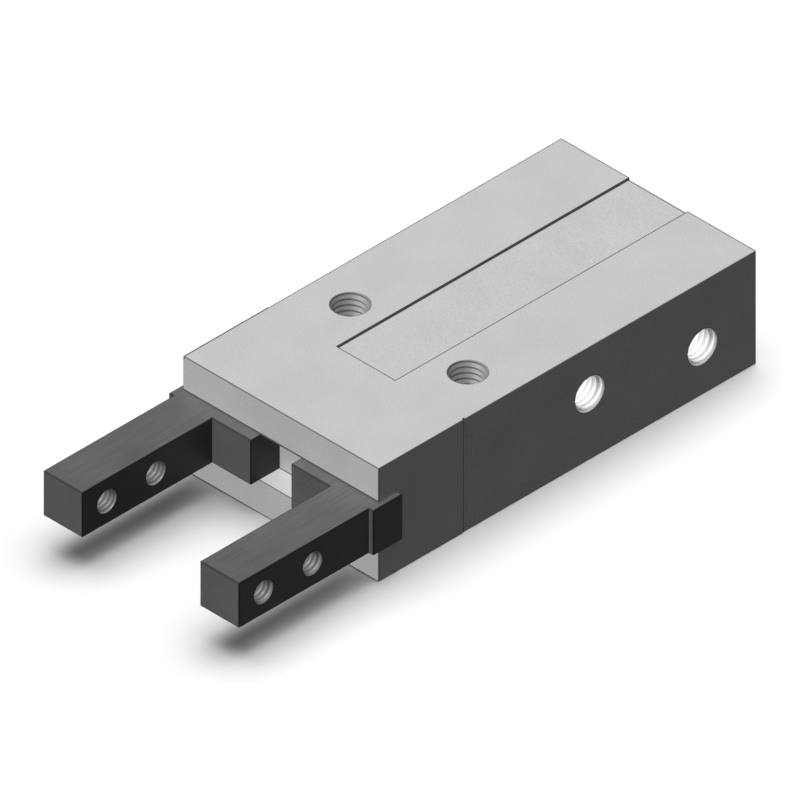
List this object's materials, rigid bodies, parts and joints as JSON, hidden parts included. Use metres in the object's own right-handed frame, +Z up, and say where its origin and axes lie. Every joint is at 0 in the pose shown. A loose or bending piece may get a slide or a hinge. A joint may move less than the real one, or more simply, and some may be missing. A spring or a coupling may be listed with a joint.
{
  "type": "parallel gripper",
  "caption": "Small pneumatic parallel gripper: flat block body with an open front slot, ball-guided square-bar fingers, a concealed piston and bell-crank drive, and threaded air ports.",
  "frame": {"origin": "on the bottom face of the body, midway between the two mounting holes", "axes": "+Z up, fingers point along -Y, +X across the width to the side that has the air ports"},
  "size_m": [0.0208, 0.0528, 0.01],
  "materials": {
    "body_aluminium": "hard-anodised, satin",
    "finger_steel": "heat-treated, dark, fine-ground",
    "lever_steel": "hardened and ground",
    "bearing_steel": "polished balls",
    "pin_steel": "ground pins and washers",
    "rod_steel": "ground, hard chromed",
    "piston_aluminium": "turned",
    "seal_rubber": "nitrile rubber",
    "bumper_rubber": "urethane rubber",
    "wear_resin": "low-friction resin",
    "magnet_rubber": "bonded magnet",
    "bush_bronze": "sintered bronze",
    "spring_steel": "phosphate-coated spring steel"
  },
  "bodies": {
    "housing": {"body": "body_aluminium", "centre_plate": "body_aluminium", "lever_shaft_right": "pin_steel", "lever_shaft_left": "pin_steel", "lever_washers": "pin_steel", "rod_bush": "bush_bronze", "rod_seal": "seal_rubber", "seal_washer": "piston_aluminium", "front_bumper": "bumper_rubber", "end_cap": "body_aluminium", "rear_bumper": "bumper_rubber", "cap_o_ring": "seal_rubber", "retaining_ring": "spring_steel"},
    "piston": {"piston_rod": "rod_steel", "piston": "piston_aluminium", "piston_seal": "seal_rubber", "wear_ring": "wear_resin", "magnet": "magnet_rubber", "magnet_holder": "piston_aluminium", "piston_nut": "pin_steel"},
    "lever_right": {"lever_right": "lever_steel"},
    "lever_left": {"lever_left": "lever_steel"},
    "finger_right": {"finger_right": "finger_steel"},
    "finger_left": {"finger_left": "finger_steel"},
    "guide_balls_right": {"guide_balls_right": "bearing_steel"},
    "guide_balls_left": {"guide_balls_left": "bearing_steel"}
  },
  "joints": [
    {"name": "piston_slide", "type": "slide", "parent": "housing", "child": "piston", "axis": [0, 1, 0], "range_m": [0, 0.00148]},
    {"name": "lever_right_turn", "type": "hinge", "parent": "housing", "child": "lever_right", "pos_m": [0.0055, -0.0041, 0.005], "axis": [0, 0, -1], "range_deg": [0, 21.34]},
    {"name": "finger_right_slide", "type": "slide", "parent": "housing", "child": "finger_right", "axis": [-1, 0, 0], "range_m": [0, 0.002]},
    {"name": "guide_balls_right_roll", "type": "slide", "parent": "housing", "child": "guide_balls_right", "axis": [-1, 0, 0], "range_m": [0, 0.001]},
    {"name": "lever_left_turn", "type": "hinge", "parent": "housing", "child": "lever_left", "pos_m": [-0.0055, -0.0041, 0.005], "axis": [0, 0, 1], "range_deg": [0, 21.34]},
    {"name": "finger_left_slide", "type": "slide", "parent": "housing", "child": "finger_left", "axis": [1, 0, 0], "range_m": [0, 0.002]},
    {"name": "guide_balls_left_roll", "type": "slide", "parent": "housing", "child": "guide_balls_left", "axis": [1, 0, 0], "range_m": [0, 0.001]}
  ],
  "couplings": [
    {"joint": "lever_right_turn", "follows": "piston_slide", "rad_per_m": 251.45},
    {"joint": "finger_right_slide", "follows": "piston_slide", "ratio": 1.35},
    {"joint": "guide_balls_right_roll", "follows": "piston_slide", "ratio": 0.675},
    {"joint": "lever_left_turn", "follows": "piston_slide", "rad_per_m": 251.45},
    {"joint": "finger_left_slide", "follows": "piston_slide", "ratio": 1.35},
    {"joint": "guide_balls_left_roll", "follows": "piston_slide", "ratio": 0.675}
  ]
}
